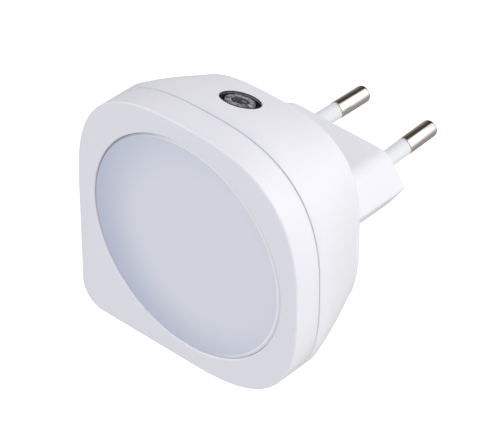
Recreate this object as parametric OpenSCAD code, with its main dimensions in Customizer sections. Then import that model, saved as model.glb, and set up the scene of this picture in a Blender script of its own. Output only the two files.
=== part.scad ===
// Plug-in night light with a dusk sensor.
// +Y runs from the lamp's face into the socket, +Z is up and +X is to the right seen from the front.
// The origin lies on the plug's engagement face, midway between the two pins.
// Housing parts are drawn in the housing's own frame: y is the depth behind the front face and
// x, z start at the centre of the diffuser. in_housing() moves that frame to its place.

/* [Housing] */
// Width and height across the flats
body_w = 59; // [56:0.5:64]
// Front face to rear face
body_depth = 26; // [25.5:0.25:28]
// Squareness of the three round quarters, where 2 is a circle
squareness = 2.7; // [2.5:0.05:3]
// Radius of the one square corner, lower left seen from the front
corner_r = 5.5; // [4:0.5:10]
// Depth of the straight band before the taper starts
band_depth = 9.5; // [9:0.25:11]
// Width and height at the rear end of the taper
rear_w = 48; // [47:0.5:52]
// Squareness of the rear outline
rear_squareness = 3; // [2.6:0.05:3.2]
// Radius of the square corner at the rear
rear_corner_r = 9; // [6:0.5:14]
// Fullness of the taper, where 0 is a straight cone
taper_bulge = 0.2; // [0:0.02:0.3]
// Radius of the rear rim
rim_r = 2; // [1:0.1:2.2]
// Wall of the rear housing
wall = 1.8; // [1.4:0.1:2.2]

/* [Bezel] */
// Depth of the front bezel, from its face to the parting line
bezel_depth = 6.5; // [6:0.1:7.5]
// Thickness of the bezel's front plate
plate_t = 2.2; // [1.8:0.1:2.4]
// Radius of the bezel's front edge
front_r = 0.6; // [0.4:0.1:1.2]
// Drop of the front plate between its flat and the front edge
crown_drop = 0.05; // [0.05:0.05:0.3]
// Width of the crowned border
crown_w = 1.6; // [1:0.2:2.4]
// Width of the front border at its narrowest, between the light opening and the side
border_w = 4.5; // [4:0.25:6]
// Rounding of the opening's rim
opening_rim_r = 0.7; // [0.3:0.1:0.8]
// Width of the parting groove
seam_gap = 0.35; // [0.2:0.05:0.6]
// Depth of the parting groove
seam_inset = 0.4; // [0.2:0.05:0.6]

/* [Closure] */
// Thickness of the tongue that enters the bezel
tongue_t = 1.1; // [0.9:0.1:1.4]
// Reach of the tongue in front of the parting line
tongue_reach = 2.5; // [2:0.1:2.7]
// Length of the tongue's root inside the housing
tongue_root = 2; // [1.5:0.1:2.2]
// Width of a snap hook
hook_w = 8; // [6:0.5:9]
// Height of a snap hook's barb
hook_h = 0.5; // [0.3:0.05:0.6]
// Length of a snap hook's barb along the depth
hook_len = 1.4; // [1:0.1:1.6]
// Slot beside each snap hook, which lets it bend
hook_slot = 0.8; // [0.6:0.1:1.2]
// Clearance between the tongue and the bezel
lap_clear = 0.1; // [0.05:0.01:0.2]

/* [Diffuser] */
// Clearance between the diffuser and its opening
diffuser_clear = 0.1; // [0.05:0.01:0.2]
// Depth of the diffuser's edge below the bezel's face
diffuser_recess = 0.5; // [0.4:0.05:0.8]
// Rise of the diffuser's middle over its edge
diffuser_rise = 0.3; // [0.1:0.05:0.35]
// Width of the diffuser's flange outside the opening
flange_w = 1.6; // [1.2:0.1:1.8]
// Thickness of the diffuser's flange
flange_t = 1.2; // [1:0.1:1.3]
// Thickness of the diffuser's light panel
panel_t = 1.3; // [1:0.1:1.6]

/* [Reflector and board] */
// Width of the reflector's rim
reflector_rim_w = 1.6; // [1.2:0.1:2]
// Thickness of the reflector's rim
reflector_rim_t = 1.1; // [0.8:0.1:1.3]
// How far the reflector's wall leans in from its rim to its floor
reflector_lean = 4.2; // [3.6:0.1:5]
// Wall of the reflector
reflector_wall = 1.2; // [0.9:0.1:1.3]
// Thickness of the circuit board
board_t = 1.6; // [1:0.1:1.6]
// Overhang of the board past the reflector's floor
board_margin = 1; // [0.6:0.1:1.4]
// Room kept above the board's flat edge for the sensor
sensor_room = 9.7; // [9.2:0.1:10.4]
// Room for components between the board and the rear wall
component_room = 12.4; // [12:0.1:13]
// Number of light emitting diodes
led_count = 6; // [4:1:8]
// Radius of the circle of diodes
led_circle_r = 12; // [10:0.5:13]
// Size of a diode: width, length, height
led_size = [2.8, 3.5, 0.7];
// Radius of a diode's window in the reflector
led_window_r = 2.6; // [2.4:0.1:3]
// Distance of the mounting posts from the board's edge
post_margin = 4.5; // [4:0.1:5]
// Radius of a mounting post
post_r = 2.5; // [2.2:0.1:2.7]
// Diameter of a self-tapping screw's shank
screw_d = 2; // [1.8:0.1:2.2]
// Radius of a screw's head
screw_head_r = 1.9; // [1.6:0.1:2.1]
// Height of a screw's head
screw_head_h = 1.2; // [1:0.1:1.4]
// Length of a board screw under its head
board_screw_len = 8.5; // [7:0.5:10]
// Length of the retainer screw under its head
retainer_screw_len = 5.5; // [5:0.1:5.8]
// Radial clearance of a screw in a plate
screw_clear = 0.15; // [0.1:0.05:0.25]

/* [Dusk sensor] */
// Distance of the sensor's centre behind the circuit board
sensor_back = 4.6; // [4.2:0.1:5.2]
// Radius of the sensor's window
window_r = 4.3; // [3.8:0.1:4.5]
// Thickness of the window's edge
window_t = 1; // [0.8:0.1:1.4]
// Rise of the window's middle
window_rise = 0.25; // [0.1:0.05:0.5]
// Radial clearance of the sensor's pieces in their bore
sensor_clear = 0.05; // [0.02:0.01:0.1]
// Wall of the boss around the sensor
boss_wall = 1.2; // [0.9:0.1:1.3]
// Length of the light shield
shield_len = 3.4; // [3.2:0.1:5]
// Wall of the light shield
shield_wall = 0.7; // [0.5:0.1:0.9]
// Thickness of the light shield's floor
shield_floor = 1; // [0.8:0.1:1.2]
// Thickness of the lip that stops the light shield
boss_lip = 0.8; // [0.6:0.1:1]
// Width of that lip
boss_lip_w = 0.9; // [0.6:0.1:1.1]
// Radius of the photocell
photocell_r = 3.2; // [2.5:0.05:3.4]
// Height of the photocell
photocell_h = 2.2; // [1.8:0.1:2.6]
// Distance between the photocell's leads
photocell_pitch = 2.54; // [2.4:0.02:2.7]
// Distance of the photocell's leads from the board's flat edge
lead_margin = 0.9; // [0.7:0.1:1.2]
// Radius of the leads of electronic components
lead_r = 0.3; // [0.25:0.01:0.35]

/* [Plug] */
// Length of the plug block, from the housing's rear face to the engagement face
plug_len = 20.3; // [19:0.1:24]
// Width of the plug block at its points
plug_w = 36; // [34.6:0.1:36]
// Height of the plug block
plug_h = 14.2; // [13:0.1:14.4]
// Width of the plug block's flats
plug_flat_w = 26.4; // [25.6:0.1:26.8]
// Radius at the ends of the flats
plug_flat_r = 4; // [2:0.1:4.4]
// Radius at the points
plug_tip_r = 1; // [0.8:0.1:2]
// Radius of the edge round the engagement face
plug_edge_r = 1.5; // [1:0.1:2]
// Wall of the plug block
plug_wall = 1.9; // [1.6:0.1:2.2]
// Thickness of the engagement wall that carries the pins
face_t = 3; // [2.6:0.1:3.4]
// Height of the diffuser's centre above the pins
plug_drop = 2; // [1.5:0.1:2.6]

/* [Pins] */
// Distance between the pins
pin_pitch = 18.6; // [18:0.1:19.2]
// Diameter of the bare pin
pin_d = 4; // [3.9:0.01:4.06]
// Length of the pins beyond the engagement face
pin_len = 19; // [18:0.1:19.5]
// Length of the insulating sleeves beyond the engagement face
sleeve_len = 10; // [9:0.1:11]
// Outer diameter of the sleeves
sleeve_d = 3.66; // [3.5:0.02:3.68]
// Diameter of the pin inside its sleeve
pin_core_d = 3; // [2.6:0.1:3.2]
// Radial clearance of a sleeve in the engagement wall
sleeve_clear = 0.05; // [0.02:0.01:0.1]
// Radius of the collar that seats on the engagement wall
collar_r = 3; // [2.6:0.1:3.3]
// Thickness of that collar
collar_t = 1.5; // [1.2:0.1:1.8]
// Radius of the solder stub behind the collar
stub_r = 1.5; // [1.2:0.1:1.7]
// Length of the solder stub
stub_len = 6; // [5:0.1:8]
// Thickness of the pin retainer
retainer_t = 2; // [1.6:0.1:2.4]
// Height of the pin retainer
retainer_h = 7.4; // [7:0.1:8]
// Clearance round the stubs in the retainer
retainer_clear = 0.1; // [0.05:0.01:0.2]
// Radius of an insulated wire
wire_r = 0.8; // [0.6:0.05:0.9]
// Straight run of a wire off its solder stub
wire_run = 6; // [4:0.5:8]
// Straight rise of a wire off the board
wire_rise = 5; // [3:0.5:6]
// Distance of a wire's landing from the board's middle
wire_land = 6.6; // [6:0.1:7]

/* [Components] */
// Dropper capacitor: width, thickness, height
film_cap_size = [18, 5, 11];
// Gap between the dropper capacitor and the lowest mounting post
film_cap_gap = 2.2; // [1.8:0.1:2.6]
// Radius of the smoothing capacitor
can_r = 3.15; // [3:0.05:3.3]
// Height of the smoothing capacitor
can_h = 11; // [9:0.5:11]
// Middle of the smoothing capacitor on the board
can_at = [-14, -5.5];
// Bridge rectifier: width, length, height
bridge_size = [6.4, 8.5, 3.3];
// Middle of the bridge rectifier on the board
bridge_at = [14.4, -4];
// Gap under components that stand on their leads
standoff = 0.5; // [0.3:0.1:0.8]
// Number of small resistors
resistor_count = 3; // [2:1:3]
// Radius of a small resistor's ends
resistor_r = 1.25; // [1:0.05:1.3]
// Length of a small resistor
resistor_len = 6.3; // [5.5:0.1:6.8]
// Distance of the highest small resistor from the board's flat edge
resistor_drop = 4.8; // [4.4:0.1:5.2]
// Distance between small resistors
resistor_step = 3.5; // [3:0.1:3.6]
// Radius of the fuse resistor
fuse_r = 1.7; // [1.5:0.05:1.9]
// Length of the fuse resistor
fuse_len = 9; // [8:0.1:9.5]
// Distance between the fuse resistor and the lowest small resistor
fuse_gap = 4.6; // [4.4:0.1:5]
// Radius of the transistor's round side
transistor_r = 2.35; // [2.1:0.05:2.5]
// Height of the transistor's body
transistor_h = 4.6; // [4:0.1:5]
// Middle of the transistor on the board
transistor_at = [9.5, 14.2];

/* [Hidden] */

$fn = 48;
quarter_steps = 16;       // outline points in each quarter
taper_steps = 6;          // rings along the taper
arc_steps = 4;            // rings round a rounded edge
turn_steps = 4;           // steps round a wire's bend
wire_sides = 10;          // sides of a wire's section
overcut = 1;              // how far a cutter runs past the face that it opens

body_h = body_w / 2;
rear_h = rear_w / 2;
skirt_h = body_h - wall;                        // half width inside the bezel and housing walls
tongue_out = skirt_h - lap_clear;
tongue_in = tongue_out - tongue_t;
seam_h = body_h - seam_inset;
taper_end = body_depth - rim_r;
front_to_face = body_depth + plug_len;          // front face to engagement face
corner_wall = 0.6;                              // least inner radius left in the square corner

opening_r = body_h - border_w;
flange_r = opening_r + flange_w;
flange_back = plate_t + flange_t;
reflector_r = flange_r - 0.3;
reflector_floor_r = reflector_r - reflector_rim_w - reflector_lean;
housing_floor = body_depth - wall;              // inner face of the housing's rear wall
board_back = housing_floor - component_room;
sensor_d = board_back + sensor_back;            // the sensor's depth behind the front face
board_front = board_back - board_t;
reflector_floor = board_front - reflector_wall;
board_r = reflector_floor_r + board_margin;
board_flat = body_h - sensor_room;
post_circle_r = board_r - post_margin;
film_cap_at = [0, -(post_circle_r - post_r - film_cap_gap - film_cap_size[1] / 2)];
resistor_z = board_flat - resistor_drop - (resistor_count - 1) * resistor_step;   // the lowest one
fuse_z = resistor_z - fuse_gap;
post_angles = [30, 150, 270];
tongue_front = bezel_depth - tongue_reach;
hook_mid = tongue_front + hook_len / 2 + 0.2;

sensor_slope = atan((body_h - rear_h) / (taper_end - band_depth)
  * (1 - taper_bulge * (1 - 2 * taper_share(sensor_d))));
sensor_bore_r = window_r + sensor_clear;
shield_top = -window_t;
shield_base = shield_top - shield_len;
photocell_base = shield_base + shield_floor;
lead_drop = -(half_at(sensor_d) - board_flat + lead_margin) / cos(sensor_slope);  // where its leads bend

pin_level = -plug_drop;                         // the pins' height in the housing's frame
face_back = front_to_face - face_t;             // inner side of the engagement wall
collar_back = face_back - collar_t;
stub_end = collar_back - stub_len;
retainer_back = collar_back - retainer_t;
pin_tip_r = pin_d / 2 - 0.2;
screw_r = screw_d / 2;
pilot_tip = 0.2;                                // free depth past a screw's point

white = [0.93, 0.935, 0.945];
opal = [0.86, 0.88, 0.93];

// ---- Outlines and lofts ----

// Point i of one quarter-turn family: three quarters of a superellipse and one rounded square corner
function round_point(t, h, n) =
  [h * sign(cos(t)) * pow(abs(cos(t)), 2 / n), h * sign(sin(t)) * pow(abs(sin(t)), 2 / n)];
function corner_point(k, h, r) =
  k < 0.25 ? [-h, -(h - r) * k / 0.25]
  : k > 0.75 ? [-(h - r) * (1 - k) / 0.25, -h]
  : let (a = 180 * (k - 0.25)) [-(h - r) - r * cos(a), -(h - r) - r * sin(a)];
function outline(h, n, r) = [
  for (i = [0 : 4 * quarter_steps - 1])
    let (q = i / quarter_steps)
    q >= 2 && q <= 3 ? corner_point(q - 2, h, r) : round_point(90 * q, h, n)
];
function ring(h, n, r, y) = [for (p = outline(h, n, r)) [p[0], y, p[1]]];

// The housing's half width, squareness and corner at a depth
function mix(a, b, s) = a + (b - a) * s;
function taper_share(y) = max(0, min(1, (y - band_depth) / (taper_end - band_depth)));
function taper_bend(s) = s - taper_bulge * s * (1 - s);
function half_at(y) = mix(body_h, rear_h, taper_bend(taper_share(y)));
function housing_ring(y, inset) =
  let (s = taper_share(y))
  ring(half_at(y) - inset, mix(squareness, rear_squareness, s),
    max(corner_wall, mix(corner_r, rear_corner_r, s) - inset), y);
function taper_depths(end) = [for (k = [0 : taper_steps]) mix(band_depth, end, k / taper_steps)];

// A solid through a list of closed rings that all have as many points
module loft(rings) {
  count = len(rings[0]);
  last = len(rings) - 1;
  polyhedron(
    points = [for (r = rings) each r],
    faces = concat(
      [[for (i = [count - 1 : -1 : 0]) i]],
      [for (j = [0 : last - 1]) for (i = [0 : count - 1])
        let (a = j * count, b = a + count, k = (i + 1) % count)
        each [[a + i, a + k, b + k], [a + i, b + k, b + i]]],
      [[for (i = [0 : count - 1]) last * count + i]]
    ),
    convexity = 8
  );
}

// The housing's frame in the part's frame
module in_housing() {
  translate([0, -front_to_face, plug_drop]) children();
}

// A child drawn along +Z is turned to run along +Y
module along_y() {
  rotate([-90, 0, 0]) children();
}

// The frame of the sensor: +Z leaves the housing square to its surface
module at_sensor() {
  translate([0, sensor_d, half_at(sensor_d)]) rotate([-sensor_slope, 0, 0]) children();
}

// A path through corner points, each rounded by an arc of radius r; axis is square to the path's plane
function unit(v) = v / norm(v);
function turn_points(a, b, c, r) =
  let (
    back = unit(a - b),
    ahead = unit(c - b),
    half = acos(back * ahead) / 2,
    centre = b + unit(back + ahead) * r / sin(half),
    start = b + back * r / tan(half) - centre,
    sweep = 180 - 2 * half
  )
  [for (k = [0 : turn_steps]) let (q = sweep * k / turn_steps) centre + start * cos(q) - back * r * sin(q)];
function bent_path(points, r) = concat(
  [points[0]],
  [for (i = [1 : 1 : len(points) - 2]) each turn_points(points[i - 1], points[i], points[i + 1], r)],
  [points[len(points) - 1]]
);

// A round wire along a path that lies in the plane square to axis
module wire(points, r, axis) {
  path = bent_path(points, 2.2 * r);
  last = len(path) - 1;
  loft([for (i = [0 : last])
    let (
      before = unit(path[max(i, 1)] - path[max(i, 1) - 1]),
      after = unit(path[min(i, last - 1) + 1] - path[min(i, last - 1)]),
      out = unit(cross(unit(before + after), axis))
    )
    [for (k = [0 : wire_sides - 1]) let (q = 360 * k / wire_sides) path[i] + r * (cos(q) * out + sin(q) * axis)]
  ]);
}

// A pan-head screw that points along +Z, with its head's seat at z = 0
module screw(len) {
  point = screw_r * 0.8;
  difference() {
    rotate_extrude($fn = 32)
      polygon([[0, -screw_head_h], [screw_head_r * 0.6, -screw_head_h],
        [screw_head_r, -screw_head_h * 0.45], [screw_head_r, 0], [screw_r, 0],
        [screw_r, len - point], [0, len]]);
    for (a = [0, 90]) rotate(a)
      translate([-screw_head_r * 0.6, -0.2, -screw_head_h - overcut])
        cube([screw_head_r * 1.2, 0.4, overcut + screw_head_h * 0.5]);
  }
}

// ---- Front ----

module bezel_shell() {
  flat_h = body_h - front_r - crown_w;
  loft(concat(
    [ring(flat_h, squareness, corner_r, 0)],
    [for (k = [0 : arc_steps])
      let (a = 90 * k / arc_steps)
      ring(body_h - front_r * (1 - sin(a)), squareness, corner_r,
        crown_drop + front_r * (1 - cos(a)))],
    [ring(body_h, squareness, corner_r, bezel_depth),
     ring(skirt_h, squareness, max(corner_wall, corner_r - wall), bezel_depth),
     ring(skirt_h, squareness, max(corner_wall, corner_r - wall), plate_t)]
  ));
}

module front_bezel() {
  locating_r = flange_r + diffuser_clear;
  color(white) in_housing() difference() {
    union() {
      bezel_shell();
      // Ring that centres the diffuser's flange
      translate([0, plate_t - overcut / 2, 0]) along_y() difference() {
        cylinder(r = locating_r + 1, h = flange_t + overcut / 2);
        translate([0, 0, -overcut]) cylinder(r = locating_r, h = flange_t + 3 * overcut);
      }
    }
    // Light opening with a rounded rim
    translate([0, -overcut, 0]) along_y() cylinder(r = opening_r, h = plate_t + 2 * overcut, $fn = 96);
    along_y() rotate_extrude($fn = 96) difference() {
      translate([opening_r - overcut, -overcut]) square([overcut + opening_rim_r, overcut + opening_rim_r]);
      translate([opening_r + opening_rim_r, opening_rim_r]) circle(r = opening_rim_r, $fn = 32);
    }
    // Pockets for the snap hooks
    for (a = [0 : 90 : 270]) rotate([0, a, 0])
      translate([-hook_w / 2 - lap_clear, hook_mid - hook_len / 2 - lap_clear, skirt_h - overcut])
        cube([hook_w + 2 * lap_clear, hook_len + 2 * lap_clear, overcut + hook_h]);
  }
}

// Opal panel, domed a little, with a flange behind the bezel's plate
module diffuser() {
  edge_r = opening_r - diffuser_clear;
  round_r = 0.5;
  dome_r = (edge_r * edge_r + diffuser_rise * diffuser_rise) / (2 * diffuser_rise);
  dome_at = diffuser_recess - diffuser_rise;
  color(opal) in_housing() along_y() rotate_extrude($fn = 96) polygon(concat(
    [for (k = [0 : 12])
      let (r = (edge_r - round_r) * k / 12)
      [r, dome_at + dome_r - sqrt(dome_r * dome_r - r * r)]],
    [[edge_r - 0.15, diffuser_recess + 0.15], [edge_r, diffuser_recess + round_r], [edge_r, plate_t],
     [flange_r, plate_t], [flange_r, flange_back],
     [edge_r - 1, flange_back], [edge_r - 1, dome_at + diffuser_rise + panel_t],
     [0, dome_at + panel_t]]
  ));
}

// White tray behind the diffuser, with a window for each diode
module reflector() {
  color([0.97, 0.97, 0.96]) in_housing() difference() {
    along_y() rotate_extrude($fn = 72) polygon([
      [0, reflector_floor], [reflector_floor_r, reflector_floor],
      [reflector_r - reflector_rim_w, flange_back], [reflector_r, flange_back],
      [reflector_r, flange_back + reflector_rim_t],
      [reflector_r - reflector_rim_w + 0.4, flange_back + reflector_rim_t],
      [reflector_floor_r + 0.4, board_front], [0, board_front]
    ]);
    for (k = [0 : led_count - 1]) rotate([0, 360 * k / led_count, 0])
      translate([led_circle_r, reflector_floor - overcut, 0]) along_y()
        cylinder(r = led_window_r, h = reflector_wall + 2 * overcut, $fn = 32);
    for (a = post_angles) rotate([0, -a, 0])
      translate([post_circle_r, reflector_floor - overcut, 0]) along_y()
        cylinder(r = screw_r + screw_clear, h = reflector_wall + 2 * overcut, $fn = 32);
  }
}

// ---- Board and its components ----

module circuit_board() {
  color([0.82, 0.86, 0.84]) in_housing() difference() {
    translate([0, board_front, 0]) along_y() cylinder(r = board_r, h = board_t, $fn = 72);
    translate([-board_r, board_front - overcut, board_flat]) cube([2 * board_r, board_t + 2 * overcut, board_r]);
    for (a = post_angles) rotate([0, -a, 0])
      translate([post_circle_r, board_front - overcut, 0]) along_y()
        cylinder(r = screw_r + screw_clear, h = board_t + 2 * overcut, $fn = 32);
  }
}

module board_screws() {
  color("silver") in_housing() for (a = post_angles) rotate([0, -a, 0])
    translate([post_circle_r, reflector_floor, 0]) along_y() screw(board_screw_len);
}

module leds() {
  color([0.98, 0.9, 0.55]) in_housing() for (k = [0 : led_count - 1]) rotate([0, 360 * k / led_count, 0])
    translate([led_circle_r, board_front - led_size[2], 0]) difference() {
      translate([-led_size[0] / 2, 0, -led_size[1] / 2]) cube([led_size[0], led_size[2], led_size[1]]);
      translate([0, -overcut, 0]) along_y() cylinder(r = led_size[0] * 0.4, h = overcut + led_size[2] * 0.2, $fn = 24);
    }
}

// A component's frame on the back of the board: x and z lie in the board, y leaves it
module on_board(at) {
  in_housing() translate([at[0], board_back, at[1]]) children();
}

module dropper_capacitor() {
  w = film_cap_size[0];
  t = film_cap_size[1];
  h = film_cap_size[2];
  foot = 0.6;
  color([0.85, 0.7, 0.2]) on_board(film_cap_at) difference() {
    translate([-w / 2, 0, -t / 2]) cube([w, h, t]);
    translate([-w / 2 + foot, -overcut, -t / 2 - overcut]) cube([w - 2 * foot, overcut + foot, t + 2 * overcut]);
  }
}

module smoothing_capacitor() {
  bead = 1.2;
  color([0.12, 0.13, 0.16]) on_board(can_at) along_y() rotate_extrude($fn = 40) polygon([
    [0, 0], [can_r - 0.3, 0], [can_r, 0.4], [can_r, bead], [can_r - 0.35, bead + 0.4],
    [can_r, bead + 0.8], [can_r, can_h - 0.4], [can_r - 0.4, can_h], [can_r - 0.9, can_h],
    [can_r - 1.1, can_h - 0.25], [0, can_h - 0.25]
  ]);
}

module bridge_rectifier() {
  w = bridge_size[0];
  l = bridge_size[1];
  leg = 0.5;
  color([0.1, 0.1, 0.11]) on_board(bridge_at) {
    difference() {
      translate([-w / 2, standoff, -l / 2]) cube([w, bridge_size[2], l]);
      translate([0, standoff + bridge_size[2] - 0.3, l / 2]) along_y() cylinder(r = 0.8, h = overcut, $fn = 24);
    }
    for (x = [-1, 1]) for (z = [-1, 1])
      translate([x * (w / 2 - leg) - leg / 2, 0, z * l / 4 - leg / 2]) cube([leg, standoff + leg, leg]);
  }
}

// A resistor that lies along X on two bent leads
module axial_part(r, len) {
  span = len / 2 + 1.4;
  lift = r + lead_r;
  translate([-len / 2, lift, 0]) rotate([0, 90, 0]) rotate_extrude($fn = 32) polygon([
    [0, 0], [r * 0.7, 0], [r, r * 0.3], [r, len * 0.18], [r * 0.86, len * 0.26],
    [r * 0.86, len * 0.74], [r, len * 0.82], [r, len - r * 0.3], [r * 0.7, len], [0, len]
  ]);
  for (x = [-1, 1])
    wire([[x * (len / 2 - 0.5), lift, 0], [x * span, lift, 0], [x * span, 0, 0]], lead_r, [0, 0, 1]);
}

module resistors() {
  color([0.25, 0.5, 0.65]) for (k = [0 : resistor_count - 1])
    on_board([0, resistor_z + k * resistor_step]) axial_part(resistor_r, resistor_len);
}

module fuse_resistor() {
  color([0.55, 0.6, 0.55]) on_board([0, fuse_z]) axial_part(fuse_r, fuse_len);
}

module transistor() {
  lift = 1.6;
  flat = transistor_r * 0.55;
  color([0.08, 0.08, 0.09]) on_board(transistor_at) {
    translate([0, lift, 0]) along_y() difference() {
      cylinder(r = transistor_r, h = transistor_h, $fn = 40);
      translate([-transistor_r, flat, -overcut]) cube([2 * transistor_r, transistor_r, transistor_h + 2 * overcut]);
    }
    for (x = [-1, 0, 1]) translate([x * 1.27 - 0.2, 0, -0.2]) cube([0.4, lift + 0.4, 0.4]);
  }
}

// ---- Rear housing ----

// One solid of revolution-like rings: inner wall forward, round the tongue, outer wall back
module housing_shell() {
  root_back = bezel_depth + tongue_root;
  r_in = max(corner_wall, corner_r - wall);
  depths = taper_depths(taper_end);
  loft(concat(
    [for (k = [taper_steps : -1 : 0]) housing_ring(min(depths[k], housing_floor), wall)],
    [ring(skirt_h, squareness, r_in, root_back + tongue_t),
     ring(tongue_in, squareness, r_in, root_back),
     ring(tongue_in, squareness, r_in, tongue_front),
     ring(tongue_out, squareness, r_in, tongue_front),
     ring(tongue_out, squareness, r_in, bezel_depth),
     ring(seam_h, squareness, corner_r, bezel_depth),
     ring(seam_h, squareness, corner_r, bezel_depth + seam_gap),
     ring(body_h, squareness, corner_r, bezel_depth + seam_gap)],
    [for (d = depths) housing_ring(d, 0)],
    [for (k = [1 : arc_steps])
      let (a = 90 * k / arc_steps)
      ring(rear_h - rim_r * (1 - cos(a)), rear_squareness, rear_corner_r, taper_end + rim_r * sin(a))]
  ));
}

// Outline of the plug block: flats above and below, and a blunt point at each side
function corner_arc(at, r, a0, a1, steps) =
  [for (k = [0 : steps]) let (a = mix(a0, a1, k / steps)) at + r * [cos(a), sin(a)]];
function plug_outline(inset) =
  let (
    lean = atan2(plug_w / 2 - plug_flat_w / 2, plug_h / 2),   // lean of the side faces from upright
    reach = cos(lean) * plug_w / 2 - inset,                   // from the middle square to a side face
    tip = [(reach - plug_tip_r) / cos(lean), 0],
    flat_z = plug_h / 2 - inset - plug_flat_r,
    flat = [(reach - plug_flat_r - sin(lean) * flat_z) / cos(lean), flat_z]
  )
  concat(
    corner_arc(tip, plug_tip_r, -lean, lean, 3),
    corner_arc(flat, plug_flat_r, lean, 90, 4),
    corner_arc([-flat[0], flat[1]], plug_flat_r, 90, 180 - lean, 4),
    corner_arc(-tip, plug_tip_r, 180 - lean, 180 + lean, 3),
    corner_arc(-flat, plug_flat_r, 180 + lean, 270, 4),
    corner_arc([flat[0], -flat[1]], plug_flat_r, 270, 360 - lean, 4)
  );
function plug_ring(inset, y) = [for (p = plug_outline(inset)) [p[0], y, p[1] + pin_level]];

module plug_block() {
  loft(concat(
    [plug_ring(0, housing_floor + wall / 2)],
    [for (k = [0 : arc_steps])
      let (a = 90 * k / arc_steps)
      plug_ring(plug_edge_r * (1 - cos(a)), front_to_face - plug_edge_r * (1 - sin(a)))]
  ));
}

module plug_cavity() {
  translate([0, face_back, 0]) rotate([90, 0, 0])
    linear_extrude(height = plug_len + wall + overcut - face_t)
      polygon([for (p = plug_outline(plug_wall)) [p[0], p[1] + pin_level]]);
}

// Barb on the tongue, with a sloped lead-in
module snap_hook() {
  root = tongue_out - tongue_t / 2;
  translate([hook_w / 2, 0, 0]) rotate([0, -90, 0]) linear_extrude(height = hook_w)
    polygon([[root, hook_mid - hook_len / 2], [tongue_out, hook_mid - hook_len / 2],
      [tongue_out + hook_h - lap_clear, hook_mid + hook_len / 2 - 0.5],
      [tongue_out + hook_h - lap_clear, hook_mid + hook_len / 2], [root, hook_mid + hook_len / 2]]);
}

module rear_housing() {
  color(white) in_housing() {
    difference() {
      union() {
        housing_shell();
        plug_block();
        // Posts that carry the board
        for (a = post_angles) rotate([0, -a, 0]) translate([post_circle_r, board_back, 0]) along_y()
          cylinder(r = post_r, h = housing_floor + wall / 2 - board_back, $fn = 40);
        // Boss round the sensor
        at_sensor() translate([0, 0, shield_base - boss_lip])
          cylinder(r = sensor_bore_r + boss_wall, h = shield_len + boss_lip - 0.2, $fn = 48);
      }
      plug_cavity();
      at_sensor() {
        translate([0, 0, shield_base]) cylinder(r = sensor_bore_r, h = overcut - shield_base, $fn = 64);
        translate([0, 0, shield_base - boss_lip - overcut])
          cylinder(r = sensor_bore_r - boss_lip_w, h = boss_lip + 2 * overcut, $fn = 48);
      }
      // Slots that free the snap hooks
      for (a = [0 : 90 : 270]) rotate([0, a, 0]) for (x = [-1, 1])
        translate([x * (hook_w + hook_slot) / 2 - hook_slot / 2, tongue_front - overcut, tongue_in - overcut])
          cube([hook_slot, overcut + tongue_reach, tongue_t + 2 * overcut - lap_clear]);
      // Pilot holes for the board's screws
      for (a = post_angles) rotate([0, -a, 0])
        translate([post_circle_r, board_back - overcut, 0]) along_y()
          cylinder(r = screw_r, h = board_screw_len + reflector_floor + pilot_tip + overcut - board_back, $fn = 32);
      // Holes for the pins' sleeves
      for (x = [-1, 1]) translate([x * pin_pitch / 2, face_back - overcut, pin_level]) along_y()
        cylinder(r = sleeve_d / 2 + sleeve_clear, h = face_t + 2 * overcut, $fn = 48);
      // Blind pilot hole for the retainer's screw
      translate([0, face_back - overcut, pin_level]) along_y()
        cylinder(r = screw_r, h = retainer_back + retainer_screw_len + pilot_tip + overcut - face_back, $fn = 32);
    }
    // Boss round that hole
    translate([0, collar_back, pin_level]) along_y() difference() {
      cylinder(r = post_r, h = collar_t + face_t / 2, $fn = 40);
      translate([0, 0, -overcut]) cylinder(r = screw_r, h = collar_t + face_t + overcut, $fn = 32);
    }
    for (a = [0 : 90 : 270]) rotate([0, a, 0]) snap_hook();
  }
}

// ---- Dusk sensor ----

module sensor_window() {
  dome_r = (window_r * window_r + window_rise * window_rise) / (2 * window_rise);
  color([0.8, 0.85, 0.9, 0.4]) in_housing() at_sensor() rotate_extrude($fn = 64) polygon(concat(
    [[0, -window_t], [window_r, -window_t], [window_r, -0.15]],
    [for (k = [8 : -1 : 0])
      let (r = (window_r - 0.15) * k / 8)
      [r, window_rise - dome_r + sqrt(dome_r * dome_r - r * r)]]
  ));
}

module light_shield() {
  color([0.05, 0.05, 0.06]) in_housing() at_sensor() difference() {
    translate([0, 0, shield_base]) cylinder(r = window_r, h = shield_len, $fn = 64);
    translate([0, 0, photocell_base]) cylinder(r = window_r - shield_wall, h = shield_len, $fn = 64);
    for (x = [-1, 1]) translate([x * photocell_pitch / 2, 0, shield_base - overcut])
      cylinder(r = lead_r + sensor_clear, h = shield_floor + 2 * overcut, $fn = 16);
  }
}

module photocell() {
  color([0.75, 0.74, 0.7]) in_housing() at_sensor() difference() {
    translate([0, 0, photocell_base]) cylinder(r = photocell_r, h = photocell_h, $fn = 48);
    // Shallow dish that holds the sensing track
    translate([0, 0, photocell_base + photocell_h - 0.15]) cylinder(r = photocell_r - 0.5, h = overcut, $fn = 48);
  }
}

module photocell_leads() {
  bend = [0, sensor_d, half_at(sensor_d)] + lead_drop * [0, sin(sensor_slope), cos(sensor_slope)];
  land = [0, board_back, bend[2]];
  color("silver") in_housing() for (x = [-1, 1]) {
    side = [x * photocell_pitch / 2, 0, 0];
    top = [0, sensor_d, half_at(sensor_d)] + photocell_base * [0, sin(sensor_slope), cos(sensor_slope)];
    wire([side + top, side + bend, side + land], lead_r, [1, 0, 0]);
  }
}

// ---- Pins ----

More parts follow.
